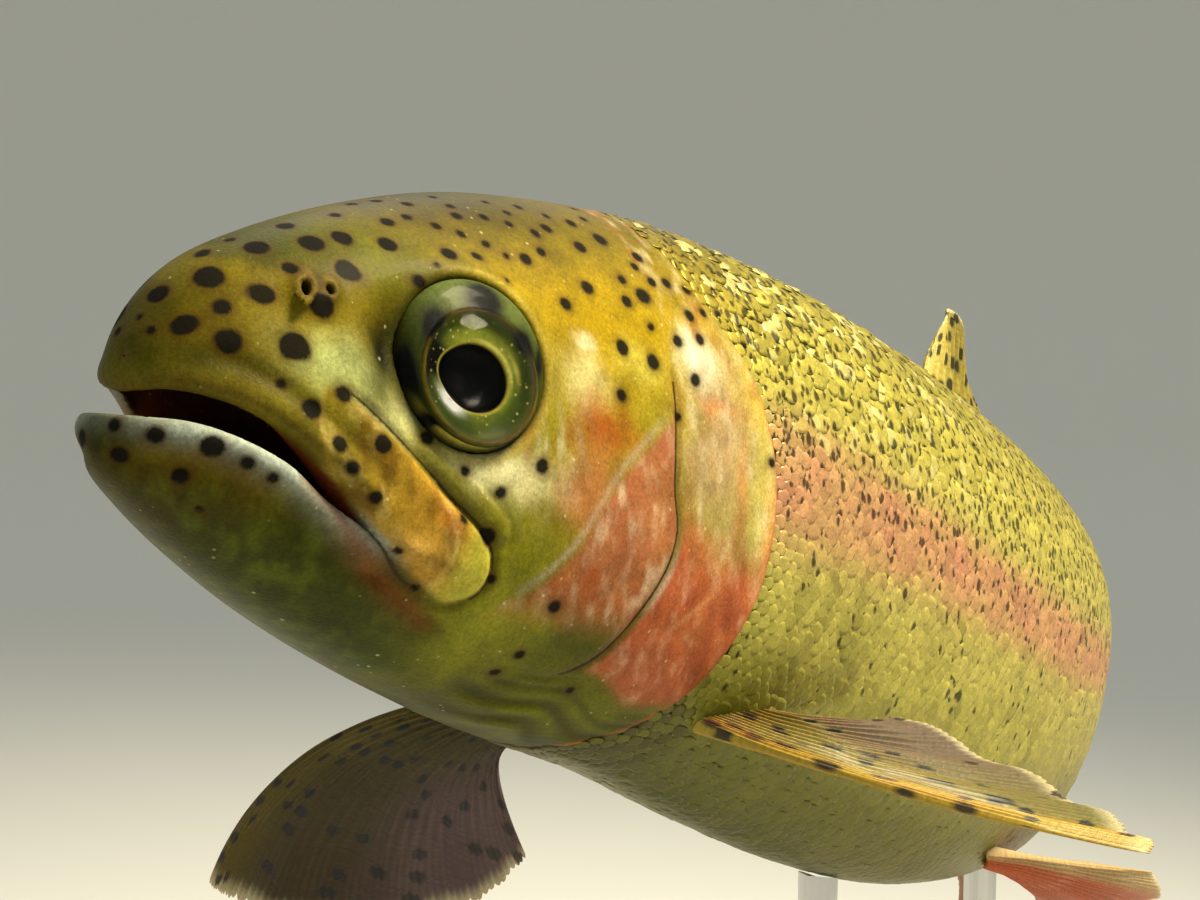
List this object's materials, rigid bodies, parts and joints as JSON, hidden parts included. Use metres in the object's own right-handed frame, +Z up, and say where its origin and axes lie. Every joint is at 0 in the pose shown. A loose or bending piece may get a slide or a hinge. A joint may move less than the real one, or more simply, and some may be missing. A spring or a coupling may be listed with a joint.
{
  "type": "rainbow trout model on a display stand",
  "caption": "Life-size still model of a rainbow trout with its mouth a little open and tail turned aside, held over a flat base by upright rods.",
  "frame": {"origin": "middle of the underside of the stand's base", "axes": "+Z up, the fish's head towards -X, its left flank towards -Y; the tail turns to its right, towards +Y"},
  "size_m": [0.3562, 0.179, 0.2112],
  "materials": {
    "skin": "painted fish skin, olive and gold with a pink band, under a wet-looking varnish",
    "scales": "small overlapping scales, silvery olive with black spots and a pink band",
    "fin": "thin ribbed fin, amber with dark spots, satin",
    "eye": "polished glass eye with an olive and gold iris",
    "mouth": "dark red-brown wet mouth lining",
    "stand_base": "satin pale grey paint over wood",
    "stand_rod": "brushed"
  },
  "bodies": {
    "root": {"head": "skin", "lower_jaw": "skin", "maxilla_left": "skin", "maxilla_right": "skin", "gill_cover_left": "skin", "gill_cover_right": "skin", "eye_left": "eye", "eye_right": "eye", "trunk_front": "skin", "trunk_rear": "skin", "tail_stalk": "skin", "dorsal_fin": "fin", "adipose_fin": "skin", "anal_fin": "fin", "caudal_fin": "fin", "pectoral_fin_left": "fin", "pectoral_fin_right": "fin", "pelvic_fin_left": "fin", "pelvic_fin_right": "fin", "stand_base": "stand_base", "stand_rod_front": "stand_rod", "stand_rod_rear": "stand_rod"}
  },
  "joints": []
}
